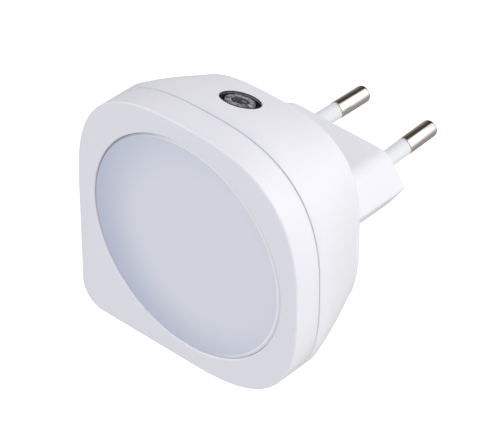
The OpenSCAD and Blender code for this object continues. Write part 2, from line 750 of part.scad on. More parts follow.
// Turned brass pin: rounded tip, bare end, thin core, collar and solder stub
module pin() {
  color([0.78, 0.72, 0.64]) along_y() rotate_extrude($fn = 64) polygon(concat(
    [[0, stub_end - front_to_face], [stub_r, stub_end - front_to_face],
     [stub_r, collar_back - front_to_face], [collar_r, collar_back - front_to_face],
     [collar_r, -face_t], [pin_core_d / 2, -face_t], [pin_core_d / 2, sleeve_len],
     [pin_d / 2, sleeve_len]],
    [for (k = [0 : 6])
      let (a = 90 * k / 6)
      [pin_d / 2 - pin_tip_r * (1 - cos(a)), pin_len - pin_tip_r * (1 - sin(a))]],
    [[0, pin_len]]
  ));
}

module pin_left() {
  translate([-pin_pitch / 2, 0, 0]) pin();
}

module pin_right() {
  translate([pin_pitch / 2, 0, 0]) pin();
}

module sleeve() {
  color(white) translate([0, -face_t, 0]) along_y() difference() {
    cylinder(r = sleeve_d / 2, h = face_t + sleeve_len, $fn = 64);
    translate([0, 0, -overcut]) cylinder(r = pin_core_d / 2, h = face_t + sleeve_len + 2 * overcut, $fn = 48);
  }
}

module sleeve_left() {
  translate([-pin_pitch / 2, 0, 0]) sleeve();
}

module sleeve_right() {
  translate([pin_pitch / 2, 0, 0]) sleeve();
}

// Plate that clamps both collars to the engagement wall
module pin_retainer() {
  end_r = retainer_h / 2;
  color([0.2, 0.2, 0.22]) translate([0, retainer_back - front_to_face, 0]) difference() {
    union() {
      for (x = [-1, 1]) translate([x * pin_pitch / 2, 0, 0]) along_y() cylinder(r = end_r, h = retainer_t, $fn = 48);
      translate([-pin_pitch / 2, 0, -end_r]) cube([pin_pitch, retainer_t, retainer_h]);
    }
    for (x = [-1, 1]) translate([x * pin_pitch / 2, -overcut, 0]) along_y()
      cylinder(r = stub_r + retainer_clear, h = retainer_t + 2 * overcut, $fn = 40);
    translate([0, -overcut, 0]) along_y() cylinder(r = screw_r + screw_clear, h = retainer_t + 2 * overcut, $fn = 32);
  }
}

module retainer_screw() {
  color("silver") translate([0, retainer_back - front_to_face, 0]) along_y() screw(retainer_screw_len);
}

// A wire from a pin's stub to the board
module supply_wire(side) {
  points = [[side * pin_pitch / 2, stub_end, 0], [side * pin_pitch / 2, stub_end - wire_run, 0],
    [side * wire_land, board_back + wire_rise, 0], [side * wire_land, board_back, 0]];
  translate([0, -front_to_face, 0]) wire(points, wire_r, [0, 0, 1]);
}

module wire_live() {
  color([0.45, 0.25, 0.12]) supply_wire(1);
}

module wire_neutral() {
  color([0.15, 0.35, 0.7]) supply_wire(-1);
}

front_bezel();
diffuser();
reflector();
board_screws();
circuit_board();
leds();
rear_housing();
sensor_window();
light_shield();
photocell();
photocell_leads();
dropper_capacitor();
smoothing_capacitor();
bridge_rectifier();
resistors();
fuse_resistor();
transistor();
pin_left();
pin_right();
sleeve_left();
sleeve_right();
pin_retainer();
retainer_screw();
wire_live();
wire_neutral();
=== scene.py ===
import math

import bmesh
import bpy
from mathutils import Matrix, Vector


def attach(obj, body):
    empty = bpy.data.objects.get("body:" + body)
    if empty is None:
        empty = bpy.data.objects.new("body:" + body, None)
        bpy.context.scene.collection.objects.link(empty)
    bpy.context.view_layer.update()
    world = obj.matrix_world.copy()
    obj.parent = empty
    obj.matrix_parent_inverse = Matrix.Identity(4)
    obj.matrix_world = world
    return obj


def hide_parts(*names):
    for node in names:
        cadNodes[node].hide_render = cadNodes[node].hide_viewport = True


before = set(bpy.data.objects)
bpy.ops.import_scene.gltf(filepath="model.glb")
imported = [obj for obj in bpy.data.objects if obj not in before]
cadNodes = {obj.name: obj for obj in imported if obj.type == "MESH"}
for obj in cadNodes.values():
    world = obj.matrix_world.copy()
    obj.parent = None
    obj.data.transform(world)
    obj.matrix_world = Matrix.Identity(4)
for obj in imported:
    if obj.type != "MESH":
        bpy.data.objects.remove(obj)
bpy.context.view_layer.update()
print("frame loaded:", len(cadNodes), "CAD nodes")

mm = 0.001
mergeDistance = 0.0005 * mm
fineRound, boreRound, postRound, screwRound = 96, 64, 48, 32  # sides of rounds
past = 1.0  # a cutting tool reaches this far beyond what it cuts
midRound = 0.3  # the middle of a rounded edge, as a share of its radius
squarely = 0.99  # how squarely a picked face looks along its axis

camera = {
    "place": (0.3524958, -0.4117746, 0.4055915),
    "turn": (51.94720517, 0.13279631, 42.39801655),  # degrees
    "lens": 237.6, "sensor": 36.0, "shift": (-0.0014, 0.0028), "clip": (0.01, 20),
}


def makeCamera():
    lensData = bpy.data.cameras.new("camera")
    lensData.lens, lensData.sensor_width = camera["lens"], camera["sensor"]
    lensData.shift_x, lensData.shift_y = camera["shift"]
    lensData.clip_start, lensData.clip_end = camera["clip"]
    viewer = bpy.data.objects.new("camera", lensData)
    viewer.location = camera["place"]
    viewer.rotation_euler = [math.radians(angle) for angle in camera["turn"]]
    bpy.context.scene.collection.objects.link(viewer)
    bpy.context.scene.camera = viewer


makeCamera()
print("camera placed")

# the body's outline, in millimetres; depths count from the lamp's front face
housing = {
    "half": 29.5, "depth": 26.0, "square": 2.7, "fuller": (0, 0.10, 0, 0.05), "fade": 0.5, "corner": 5.5,
    "band": 9.5, "rearHalf": 24.0, "rearSquare": 3.0, "rearCorner": 9.0, "bulge": 0.2, "rim": 2.0,
    "wall": 1.8, "leastCorner": 0.6, "frontToPlug": 46.3, "dropToPins": 2.0,
    "seam": 6.5, "seamGap": 0.33, "seamInset": 0.9, "seamEdge": 0.1,
    "tongue": 1.1, "tongueReach": 2.5, "tongueRoot": 2.0, "lap": 0.1,
    "quarterSteps": 40, "taperSteps": 16, "rimSteps": 8, "insideSteps": 8,
}


def spot(x, depth, z):
    # a point of the housing in the frame's metres
    return Vector((x, depth - housing["frontToPlug"], z + housing["dropToPins"])) * mm


def blend(a, b, share):
    return a + (b - a) * share


def power(value, exponent):
    return math.copysign(abs(value) ** exponent, value)


def outline(half, square, corner, fuller):
    # three round quarters and one square corner, lower left, which takes half of its quarter's points
    side, points = 0.25, []
    for number in range(4 * housing["quarterSteps"]):
        turn = number / housing["quarterSteps"]
        if 2 <= turn <= 3:
            share, straight = turn - 2, half - corner
            if share < side:
                points.append((-half, -straight * share / side))
            elif share > 1 - side:
                points.append((-straight * (1 - share) / side, -half))
            else:
                angle = math.radians(90 * (share - side) / (1 - 2 * side))
                points.append((-straight - corner * math.cos(angle), -straight - corner * math.sin(angle)))
        else:
            angle, fullness = math.radians(90 * turn), square + fuller * housing["fuller"][int(turn)]
            points.append((half * power(math.cos(angle), 2 / fullness),
                           half * power(math.sin(angle), 2 / fullness)))
    return points


def squareRing(half, depth, square=None, corner=None):
    corner = housing["corner"] if corner is None else corner
    fuller = max(0.0, 1 - housing["fade"] * depth / housing["band"])
    return [spot(x, depth, z) for x, z in outline(half, square or housing["square"], corner, fuller)]


def roundRing(radius, depth):
    count = 4 * housing["quarterSteps"]
    turns = [2 * math.pi * number / count for number in range(count)]
    return [spot(radius * math.cos(turn), depth, radius * math.sin(turn)) for turn in turns]


def taperShare(depth):
    end = housing["depth"] - housing["rim"]
    return max(0.0, min(1.0, (depth - housing["band"]) / (end - housing["band"])))


def halfAt(depth):
    share = taperShare(depth)
    return blend(housing["half"], housing["rearHalf"], share - housing["bulge"] * share * (1 - share))


def housingRing(depth, inset):
    share = taperShare(depth)
    corner = blend(housing["corner"], housing["rearCorner"], share) - inset
    return squareRing(halfAt(depth) - inset, depth, blend(housing["square"], housing["rearSquare"], share),
                      max(housing["leastCorner"], corner))


def freshSelection():
    if bpy.context.mode != "OBJECT":
        bpy.ops.object.mode_set(mode="OBJECT")
    bpy.ops.object.select_all(action="DESELECT")


def pick(piece):
    freshSelection()
    bpy.context.view_layer.objects.active = piece
    piece.select_set(True)


def startPiece(name):
    # the new primitive takes the name and opens for editing, all selected
    piece = bpy.context.object
    bpy.ops.object.transform_apply(location=True, rotation=True, scale=True)
    piece.name = piece.data.name = name
    bpy.ops.object.mode_set(mode="EDIT")
    bpy.ops.mesh.select_all(action="SELECT")
    return piece


def closeEdit():
    bpy.ops.mesh.select_all(action="SELECT")
    bpy.ops.mesh.remove_doubles(threshold=mergeDistance)
    bpy.ops.mesh.normals_make_consistent(inside=False)
    bpy.ops.object.mode_set(mode="OBJECT")


def growRings(name, rings, closed=False):
    # a circle takes the first ring's place, then each further ring is extruded from the last one
    freshSelection()
    bpy.ops.mesh.primitive_circle_add(vertices=len(rings[0]), radius=mm,
                                      fill_type="NOTHING" if closed else "NGON")
    piece = startPiece(name)
    mesh = bmesh.from_edit_mesh(piece.data)
    number = mesh.verts.layers.int.new("number")
    for count, vertex in enumerate(mesh.verts):
        vertex[number] = count
        vertex.co = rings[0][count]
    bmesh.update_edit_mesh(piece.data)
    for ring in rings[1:]:
        bpy.ops.mesh.extrude_edges_move()
        mesh = bmesh.from_edit_mesh(piece.data)
        number = mesh.verts.layers.int["number"]
        for vertex in mesh.verts:
            if vertex.select:
                vertex.co = ring[vertex[number]]
        bmesh.update_edit_mesh(piece.data)
    if not closed:
        bpy.ops.mesh.edge_face_add()
    closeEdit()
    piece.data.attributes.remove(piece.data.attributes["number"])
    return piece


def turnProfile(name, profile, count, closed=False):
    # a circle along +Z, extruded and resized through (radius, height) points in millimetres
    radius, height = profile[0]
    freshSelection()
    bpy.ops.mesh.primitive_circle_add(vertices=count, radius=radius * mm, location=(0, 0, height * mm),
                                      fill_type="NOTHING" if closed else "NGON")
    piece = startPiece(name)
    for nextRadius, nextHeight in profile[1:]:
        bpy.ops.mesh.extrude_edges_move(TRANSFORM_OT_translate={"value": (0, 0, (nextHeight - height) * mm)})
        grow = nextRadius / radius
        if grow != 1:
            bpy.ops.transform.resize(value=(grow, grow, 1), center_override=(0, 0, 0))
        radius, height = nextRadius, nextHeight
    if not closed:
        bpy.ops.mesh.edge_face_add()
    closeEdit()
    return piece


def standAt(piece, origin, axis):
    # the piece's +Z turns to the axis, and its start goes to the origin
    piece.rotation_euler = axis.to_track_quat("Z", "Y").to_euler()
    piece.location = origin
    return piece


def carve(piece, tool, operation="DIFFERENCE"):
    pick(piece)
    bpy.ops.object.modifier_add(type="BOOLEAN")
    change = piece.modifiers[-1]
    change.operation, change.solver, change.object = operation, "EXACT", tool
    bpy.ops.object.modifier_apply(modifier=change.name)
    bpy.data.objects.remove(tool)


def rod(radius, start, end, direction, count=postRound):
    # a plain round tool between two distances along a direction from a point of the frame
    origin, axis = direction
    middle = origin + axis * (start + end) / 2 * mm
    freshSelection()
    bpy.ops.mesh.primitive_cylinder_add(vertices=count, radius=radius * mm, depth=(end - start) * mm,
                                        location=middle,
                                        rotation=axis.to_track_quat("Z", "Y").to_euler())
    return bpy.context.object


def settle(piece, smoothAngle=32):
    # place and turn go into the mesh, and the shading is smooth but for real edges
    pick(piece)
    bpy.ops.object.transform_apply(location=True, rotation=True, scale=True)
    bpy.ops.object.shade_smooth_by_angle(angle=math.radians(smoothAngle))
    return piece


def enter(piece, slot, *nodes):
    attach(piece, "root")
    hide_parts(*nodes)
    print("made", piece.name, "with", len(piece.data.polygons), "faces")


bezel = {
    "plate": 2.2, "border": 4.5, "frontRound": 0.4, "openingRound": 0.5, "crownDrop": 0.05, "crownWidth": 1.6,
    "ringWall": 1.0, "flange": 1.6, "flangeThick": 1.2, "clear": 0.1, "roundSteps": 8, "crownSteps": 5,
}
openingRadius = housing["half"] - bezel["border"]
flangeRadius = openingRadius + bezel["flange"]
flangeBack = bezel["plate"] + bezel["flangeThick"]


def quarterTurns(steps):
    return [math.radians(90 * k / steps) for k in range(steps + 1)]


def makeBezel():
    half, seam, edge, plate = housing["half"], housing["seam"], housing["seamEdge"], bezel["plate"]
    rim, front, drop = bezel["openingRound"], bezel["frontRound"], bezel["crownDrop"]
    flat = half - front - bezel["crownWidth"]
    skirt, skirtCorner = half - housing["wall"], housing["corner"] - housing["wall"]
    locating = flangeRadius + bezel["clear"]
    rings = [roundRing(openingRadius, plate)]
    rings += [roundRing(openingRadius + rim * (1 - math.cos(turn)), rim * (1 - math.sin(turn)))
              for turn in quarterTurns(bezel["roundSteps"])]
    for k in range(bezel["crownSteps"] + 1):
        share = k / bezel["crownSteps"]
        rings.append(squareRing(flat + bezel["crownWidth"] * share, drop * share * share))
    rings += [squareRing(half - front * (1 - math.sin(turn)), drop + front * (1 - math.cos(turn)))
              for turn in quarterTurns(bezel["roundSteps"])[1:]]
    rings += [squareRing(half, seam - edge), squareRing(half - edge * midRound, seam - edge * midRound),
              squareRing(half - edge, seam), squareRing(skirt, seam, corner=skirtCorner),
              squareRing(skirt, plate, corner=skirtCorner),
              roundRing(locating + bezel["ringWall"], plate),
              roundRing(locating + bezel["ringWall"], flangeBack),
              roundRing(locating, flangeBack), roundRing(locating, plate), roundRing(openingRadius, plate)]
    return settle(growRings("frontBezel", rings, closed=True))


bezelPiece = makeBezel()
enter(bezelPiece, "white_housing", "front_bezel")

panel = {
    "clear": 0.05, "recess": 0.28, "rise": 0.15, "thick": 1.3, "rimWall": 1.0, "pole": 1.0, "edgeRound": 0.25,
    "steps": 12, "edgeSteps": 5, "count": 160,
}


def makeDiffuser():
    # a shallow dome with a rounded edge, a skirt and a flange behind the plate
    edge, rise, curve = openingRadius - panel["clear"], panel["rise"], panel["edgeRound"]
    dome = (edge * edge + rise * rise) / (2 * rise)
    top = panel["recess"] - rise
    profile = []
    for k in range(panel["steps"] + 1):
        radius = blend(panel["pole"], edge - curve, k / panel["steps"])
        profile.append((radius, top + dome - math.sqrt(dome * dome - radius * radius)))
    profile += [(edge - curve + curve * math.sin(turn), panel["recess"] + curve * (1 - math.cos(turn)))
                for turn in quarterTurns(panel["edgeSteps"])[1:]]
    profile += [(edge, bezel["plate"]), (flangeRadius, bezel["plate"]), (flangeRadius, flangeBack),
                (edge - panel["rimWall"], flangeBack),
                (edge - panel["rimWall"], panel["recess"] + panel["thick"]),
                (panel["pole"], top + panel["thick"])]
    piece = turnProfile("opalPanel", profile, panel["count"])
    return settle(standAt(piece, spot(0, 0, 0), Vector((0, 1, 0))))


panelPiece = makeDiffuser()
enter(panelPiece, "opal_panel", "diffuser")

# these five are cut into the housing as well, so they stand before it
plug = {
    "width": 36.0, "height": 14.2, "flat": 26.4, "flatRound": 4.0, "tipRound": 1.0, "edge": 1.5, "tipEdge": 0.6,
    "wall": 1.9, "face": 3.0, "steps": 8, "edgeSteps": 8,
}
fixing = {
    "posts": (30, 150, 270), "circle": 17.0, "post": 2.5, "screw": 1.0,
    "boardBack": 11.8, "boardScrewEnd": 17.7, "retainerScrewEnd": 45.5,
}
sensor = {
    "depth": 16.4, "window": 4.3, "clear": 0.05, "thick": 1.0, "shield": 3.4, "floor": 1.0, "chamfer": 0.15,
    "lip": 0.8, "lipWidth": 0.9, "boss": 1.2, "bossUnder": 0.4,
    "pane": 0.55, "rise": 0.025, "edge": 0.1, "sideTop": 0.2, "domeInset": 0.15, "domeSteps": 8, "pole": 0.3,
}
pin = {
    "pitch": 19.2, "radius": 1.92, "length": 18.4, "lift": 0.65, "lean": 1.7, "tipRound": 0.9, "tipSteps": 10,
    "edge": 0.05, "edgeSteps": 2, "core": 1.5, "collar": 3.0, "collarThick": 1.5,
    "stub": 1.5, "stubLong": 6.0, "stubPoint": 0.3, "stubShrink": 0.8, "smooth": 40,
}
sleeve = {"length": 9.3, "radius": 1.83, "clear": 0.05, "edge": 0.04, "end": 9.5}

# the skin's slope at the sensor, and the window's middle with its outward direction
taperLength = housing["depth"] - housing["rim"] - housing["band"]
slope = math.atan((housing["half"] - housing["rearHalf"]) / taperLength
                  * (1 - housing["bulge"] * (1 - 2 * taperShare(sensor["depth"]))))
sensorFrame = (spot(0, sensor["depth"], halfAt(sensor["depth"])),
               Vector((0, math.sin(slope), math.cos(slope))))


def plugOutline(inset):
    # two flats, four rounded corners and a blunt point at each side
    lean = math.atan2((plug["width"] - plug["flat"]) / 2, plug["height"] / 2)
    reach = math.cos(lean) * plug["width"] / 2 - inset
    tipX = (reach - plug["tipRound"]) / math.cos(lean)
    flatZ = plug["height"] / 2 - inset - plug["flatRound"]
    flatX = (reach - plug["flatRound"] - math.sin(lean) * flatZ) / math.cos(lean)
    half = math.pi / 2
    tip, flat = plug["tipRound"], plug["flatRound"]
    arcs = [(tipX, 0, tip, -lean, lean), (flatX, flatZ, flat, lean, half),
            (-flatX, flatZ, flat, half, 2 * half - lean), (-tipX, 0, tip, 2 * half - lean, 2 * half + lean),
            (-flatX, -flatZ, flat, 2 * half + lean, 3 * half), (flatX, -flatZ, flat, 3 * half, 4 * half - lean)]
    points = []
    for x, z, radius, start, end in arcs:
        for k in range(plug["steps"] + 1):
            turn = blend(start, end, k / plug["steps"])
            points.append((x + radius * math.cos(turn), z + radius * math.sin(turn)))
    return points


def plugRing(inset, depth):
    return [spot(x, depth, z - housing["dropToPins"]) for x, z in plugOutline(inset)]


def plugEdgeRing(turn):
    # the edge round the end face is sharp at the points and softer on the flats
    ring = []
    for number, (x, z) in enumerate(plugOutline(0)):
        edge = blend(plug["tipEdge"], plug["edge"], min(1.0, abs(z) / (plug["height"] / 2)))
        x, z = plugOutline(edge * (1 - math.cos(turn)))[number]
        ring.append(spot(x, housing["frontToPlug"] - edge * (1 - math.sin(turn)), z - housing["dropToPins"]))
    return ring


def sensorCup(bore, bottom):
    # the well of the dusk sensor, with a small chamfer at the skin
    chamfer, wide = sensor["chamfer"], bore + 3 * sensor["chamfer"]
    profile = [(bore, bottom), (bore, -chamfer), (bore + chamfer, 0), (wide, 2 * chamfer), (wide, past)]
    return standAt(turnProfile("sensorWell", profile, fineRound), *sensorFrame)


def makeShell():
    # from the middle of the inner floor forward, round the tongue and the seam, then back over the skin
    wall, seam, half = housing["wall"], housing["seam"], housing["half"]
    floor, taperEnd, skirt = housing["depth"] - wall, housing["depth"] - housing["rim"], half - wall
    inner = {"corner": housing["corner"] - wall}
    tongueOut = skirt - housing["lap"]
    tongueIn, tongueFront = tongueOut - housing["tongue"], seam - housing["tongueReach"]
    root, edge, far = seam + housing["tongueRoot"], housing["seamEdge"], seam + housing["seamGap"]
    inside = [blend(housing["band"], taperEnd, k / housing["insideSteps"])
              for k in range(housing["insideSteps"] + 1)]
    rings = [housingRing(min(depth, floor), wall) for depth in reversed(inside)]
    rings += [squareRing(skirt, root + housing["tongue"], **inner),
              squareRing(tongueIn, root, **inner), squareRing(tongueIn, tongueFront, **inner),
              squareRing(tongueOut, tongueFront, **inner), squareRing(tongueOut, seam, **inner),
              squareRing(half - housing["seamInset"], seam), squareRing(half - housing["seamInset"], far),
              squareRing(half - edge, far), squareRing(half - edge * midRound, far + edge * midRound),
              squareRing(half, far + edge)]
    rings += [housingRing(blend(housing["band"], taperEnd, k / housing["taperSteps"]), 0)
              for k in range(housing["taperSteps"] + 1)]
    rings += [squareRing(housing["rearHalf"] - housing["rim"] * (1 - math.cos(turn)),
                         taperEnd + housing["rim"] * math.sin(turn), housing["rearSquare"],
                         housing["rearCorner"])
              for turn in quarterTurns(housing["rimSteps"])[1:]]
    return growRings("rearHousing", rings)


def fitHousing(shell):
    # the plug block, the sensor's boss and the screw posts with their hollows and holes
    alongPins, plugEnd = Vector((0, 1, 0)), housing["frontToPlug"]
    floor, faceBack = housing["depth"] - housing["wall"], plugEnd - plug["face"]
    inFloor = floor + housing["wall"] / 2
    block = [plugRing(0, inFloor)] + [plugEdgeRing(turn) for turn in quarterTurns(plug["edgeSteps"])]
    carve(shell, growRings("plugBlock", block), "UNION")
    bore, bottom = sensor["window"] + sensor["clear"], -sensor["thick"] - sensor["shield"]
    carve(shell, rod(bore + sensor["boss"], bottom - sensor["lip"], -sensor["bossUnder"], sensorFrame,
                     boreRound), "UNION")
    for angle in map(math.radians, fixing["posts"]):
        post = (spot(fixing["circle"] * math.cos(angle), 0, fixing["circle"] * math.sin(angle)), alongPins)
        carve(shell, rod(fixing["post"], fixing["boardBack"], inFloor, post), "UNION")
        carve(shell, rod(fixing["screw"], fixing["boardBack"] - past, fixing["boardScrewEnd"], post, screwRound))
    carve(shell, growRings("plugHollow", [plugRing(plug["wall"], floor - 2 * past),
                                          plugRing(plug["wall"], faceBack)]))
    carve(shell, sensorCup(bore, bottom))
    carve(shell, rod(bore - sensor["lipWidth"], bottom - sensor["lip"] - past, bottom + past, sensorFrame,
                     boreRound))
    for side in (-1, 1):
        hole = (spot(side * pin["pitch"] / 2, 0, pin["lift"] - housing["dropToPins"]), alongPins)
        carve(shell, rod(sleeve["radius"] + sleeve["clear"], faceBack - past, plugEnd + past, hole, boreRound))
    middle = (spot(0, 0, -housing["dropToPins"]), alongPins)
    postFront = faceBack - pin["collarThick"]
    carve(shell, rod(fixing["post"], postFront, faceBack + plug["face"] / 2, middle), "UNION")
    carve(shell, rod(fixing["screw"], postFront - past, fixing["retainerScrewEnd"], middle, screwRound))


def clearSlivers(piece):
    # cuts that meet leave a few triangles without area
    pick(piece)
    bpy.ops.object.mode_set(mode="EDIT")
    bpy.ops.mesh.select_all(action="SELECT")
    bpy.ops.mesh.dissolve_degenerate(threshold=mergeDistance)
    bpy.ops.object.mode_set(mode="OBJECT")


def makeHousing():
    shell = makeShell()
    fitHousing(shell)
    clearSlivers(shell)
    return settle(shell)


housingPiece = makeHousing()
enter(housingPiece, "white_housing", "rear_housing")


def makeWindow():
    # a clear disc with a slightly domed top
    radius, thick, rise, edge = sensor["window"], sensor["pane"], sensor["rise"], sensor["edge"]
    dome = (radius * radius + rise * rise) / (2 * rise)
    profile = [(sensor["pole"], -thick), (radius - edge, -thick), (radius, -thick + edge),
               (radius, -sensor["sideTop"]), (radius - edge / 2, -edge)]
    for k in range(sensor["domeSteps"], 0, -1):
        across = (radius - sensor["domeInset"]) * k / sensor["domeSteps"]
        profile.append((across, rise - dome + math.sqrt(dome * dome - across * across)))
    return settle(standAt(turnProfile("sensorWindow", profile, fineRound), *sensorFrame))


windowPiece = makeWindow()
enter(windowPiece, "clear_window", "sensor_window")

photocell = {"radius": 3.1, "high": 2.8, "rim": 0.12, "track": 1.85, "trackEdge": 0.1, "sunk": 0.1, "pole": 0.4}


def makePhotocell():
    # a ceramic button whose track lies a little below its glazed rim
    radius, soft, track, pole = photocell["radius"], photocell["rim"], photocell["track"], photocell["pole"]
    base = -sensor["thick"] - sensor["shield"] + sensor["floor"]
    top = base + photocell["high"]
    bed = top - photocell["sunk"]
    profile = [(pole, base), (radius - soft, base), (radius, base + soft), (radius, top - soft),
               (radius - midRound * soft, top - midRound * soft), (radius - soft, top),
               (track + photocell["trackEdge"], top), (track, bed), (pole, bed)]
    return settle(standAt(turnProfile("photocellBody", profile, fineRound), *sensorFrame))


photocellPiece = makePhotocell()
enter(photocellPiece, "photocell", "photocell")


def pickFaces(piece, test):
    # in edit mode, the faces whose normal passes a test
    mesh = bmesh.from_edit_mesh(piece.data)
    for part in (*mesh.verts, *mesh.edges, *mesh.faces):
        part.select = False
    for face in mesh.faces:
        if test(face.normal):
            face.select_set(True)
    mesh.select_flush_mode()
    bmesh.update_edit_mesh(piece.data)


def facesRear(normal):
    return normal.y > squarely


def facesLamp(normal):
    return normal.y < -squarely


def drawBack(length, growth):
    # the picked face is drawn back along the pin, then takes a new radius
    bpy.ops.mesh.extrude_region_move(TRANSFORM_OT_translate={"value": (0, -length * mm, 0)})
    if growth != 1:
        bpy.ops.mesh.extrude_region_move(TRANSFORM_OT_translate={"value": (0, 0, 0)})
        bpy.ops.transform.resize(value=(growth, 1, growth), center_override=(0, 0, 0))


def startRound(name, radius, start, end):
    # a cylinder along the pin between two depths, open for editing by faces
    freshSelection()
    bpy.ops.mesh.primitive_cylinder_add(vertices=fineRound, radius=radius * mm, depth=(end - start) * mm,
                                        location=(0, (start + end) / 2 * mm, 0),
                                        rotation=(math.radians(-90), 0, 0))
    piece = startPiece(name)
    bpy.ops.mesh.select_mode(type="FACE")
    return piece


def setInPlug(piece, side):
    # the pins lean a little towards each other
    closeEdit()
    piece.location = (side * pin["pitch"] / 2 * mm, 0, pin["lift"] * mm)
    piece.rotation_euler = (0, 0, side * math.radians(pin["lean"]))
    return settle(piece, pin["smooth"])


def makePin(name, side):
    # the shown metal first, then its core through the sleeve, the collar and the stub behind the plug's face
    edge = pin["edge"]
    piece = startRound(name, pin["radius"], sleeve["end"], pin["length"])
    pickFaces(piece, facesRear)
    bpy.ops.mesh.bevel(offset=pin["tipRound"] * mm, segments=pin["tipSteps"], profile=0.5)
    pickFaces(piece, facesLamp)
    bpy.ops.mesh.bevel(offset=edge * mm, segments=pin["edgeSteps"])
    pickFaces(piece, facesLamp)
    bpy.ops.mesh.inset(thickness=(pin["radius"] - edge - pin["core"]) * mm)
    drawBack(sleeve["end"] + plug["face"], pin["collar"] / pin["core"])
    drawBack(pin["collarThick"], pin["stub"] / pin["collar"])
    drawBack(pin["stubLong"] - pin["stubPoint"], 1)
    drawBack(pin["stubPoint"], 1)
    bpy.ops.transform.resize(value=(pin["stubShrink"], 1, pin["stubShrink"]), center_override=(0, 0, 0))
    return setInPlug(piece, side)


def makeSleeve(name, side):
    # a tube: both end faces are inset and joined through the middle
    piece = startRound(name, sleeve["radius"], -plug["face"], sleeve["length"])
    pickFaces(piece, facesRear)
    bpy.ops.mesh.bevel(offset=sleeve["edge"] * mm, segments=pin["edgeSteps"])
    pickFaces(piece, lambda normal: abs(normal.y) > squarely)
    bpy.ops.mesh.inset(thickness=(sleeve["radius"] - sleeve["edge"] - pin["core"]) * mm, use_individual=True)
    bpy.ops.mesh.bridge_edge_loops()
    return setInPlug(piece, side)


pinPieces, sleevePieces = [], []
for side, word in ((-1, "Left"), (1, "Right")):
    pinPieces.append(makePin("pin" + word, side))
    enter(pinPieces[-1], "plated_pin", "pin_" + word.lower())
    sleevePieces.append(makeSleeve("sleeve" + word, side))
    enter(sleevePieces[-1], "pin_sleeve", "sleeve_" + word.lower())


class Signal:
    # one output socket of a material, with sums written as on paper
    def __init__(self, tree, socket):
        self.tree, self.socket = tree, socket

    def add(self, kind, settings=None, sockets=None, output=0):
        made = self.tree.nodes.new(kind)
        for key, value in (settings or {}).items():
            setattr(made, key, value)
        for key, value in (sockets or {}).items():
            if isinstance(value, Signal):
                self.tree.links.new(value.socket, made.inputs[key])
            else:
                made.inputs[key].default_value = value
        return Signal(self.tree, made.outputs[output]) if len(made.outputs) else None

    def part(self, output):
        # another output of the same node
        return Signal(self.tree, self.socket.node.outputs[output])

    def sum(self, operation, first, second):
        return self.add("ShaderNodeMath", {"operation": operation}, {0: first, 1: second})

    def __add__(self, other):
        return self.sum("ADD", self, other)

    def __sub__(self, other):
        return self.sum("SUBTRACT", self, other)

    def __mul__(self, other):
        return self.sum("MULTIPLY", self, other)

    def __rsub__(self, other):
        return self.sum("SUBTRACT", other, self)

    __radd__ = __add__
    __rmul__ = __mul__


def colour(*rgb):
    return (*rgb, 1.0)


def mix(share, first, second):
    return share.add("ShaderNodeMix", {"data_type": "RGBA"}, {0: share, 6: first, 7: second}, 2)


def stretch(place, scale):
    return place.add("ShaderNodeMapping", {}, {"Vector": place, "Scale": scale})


def noise(place, size, detail=2.0):
    # size is the width of a lump in millimetres
    return place.add("ShaderNodeTexNoise", {}, {
        "Vector": place, "Scale": 1 / (size * mm), "Detail": detail})


def smoothStep(value, low, high, outLow=0.0, outHigh=1.0):
    return value.add("ShaderNodeMapRange", {"interpolation_type": "SMOOTHSTEP"},
                     {"Value": value, "From Min": low, "From Max": high, "To Min": outLow, "To Max": outHigh})


def split(place):
    parts = place.add("ShaderNodeSeparateXYZ", {}, {"Vector": place})
    return parts, parts.part(1), parts.part(2)


def absolute(value):
    return value.add("ShaderNodeMath", {"operation": "ABSOLUTE"}, {0: value})


def reach(place, keep):
    # distance in the plane that keep leaves in
    flat = place.add("ShaderNodeVectorMath", {"operation": "MULTIPLY"}, {0: place, 1: keep})
    return place.add("ShaderNodeVectorMath", {"operation": "LENGTH"}, {0: flat}, 1)


def startMaterial(name):
    material = bpy.data.materials.new(name)
    material.use_nodes = True
    material.node_tree.nodes.clear()
    start = material.node_tree.nodes.new("ShaderNodeTexCoord")
    return material, Signal(material.node_tree, start.outputs["Object"])


def finishMaterial(material, place, varying, constant=None):
    shader = place.add("ShaderNodeBsdfPrincipled", {}, {**(constant or {}), **varying}, "BSDF")
    place.add("ShaderNodeOutputMaterial", {}, {"Surface": shader})
    return material


def bump(height, strength, distance):
    return height.add("ShaderNodeBump", {}, {"Strength": strength, "Distance": distance * mm, "Height": height})


def dress(material, *pieces):
    for piece in pieces:
        piece.data.materials.clear()
        piece.data.materials.append(material)


def mouldedPlastic(name, recipe, constant=None):
    # smooth moulded skin: slow flow clouds and a few specks in colour, a faint orange peel in the shine
    material, place = startMaterial(name)
    peel = noise(place, recipe["peelSize"], recipe["peelDetail"])
    speck = smoothStep(noise(place, recipe["speckSize"], recipe["speckDetail"]), *recipe["speckRange"])
    tint = mix(noise(place, recipe["flowSize"]), recipe["colour"], recipe["shade"])
    return finishMaterial(material, place, {
        "Base Color": mix(speck * recipe["speck"], tint, recipe["speckColour"]),
        "Roughness": recipe["roughness"] + (peel - 0.5) * recipe["peelShine"],
        "Normal": bump(peel, recipe["peelStrength"], recipe["peelHigh"]),
    }, constant)


whiteRecipe = {
    "colour": colour(0.829, 0.827, 0.864), "shade": colour(0.821, 0.819, 0.856), "flowSize": 14,
    "speckColour": colour(0.74, 0.73, 0.72), "speckSize": 0.35, "speckDetail": 0.0, "speckRange": (0.72, 0.80),
    "speck": 0.05,
    "peelSize": 0.9, "peelDetail": 3.0, "peelShine": 0.10, "peelStrength": 0.06, "peelHigh": 0.02,
    "roughness": 0.36,
}
dress(mouldedPlastic("whitePlastic", whiteRecipe, {"IOR": 1.49}), bezelPiece, housingPiece)

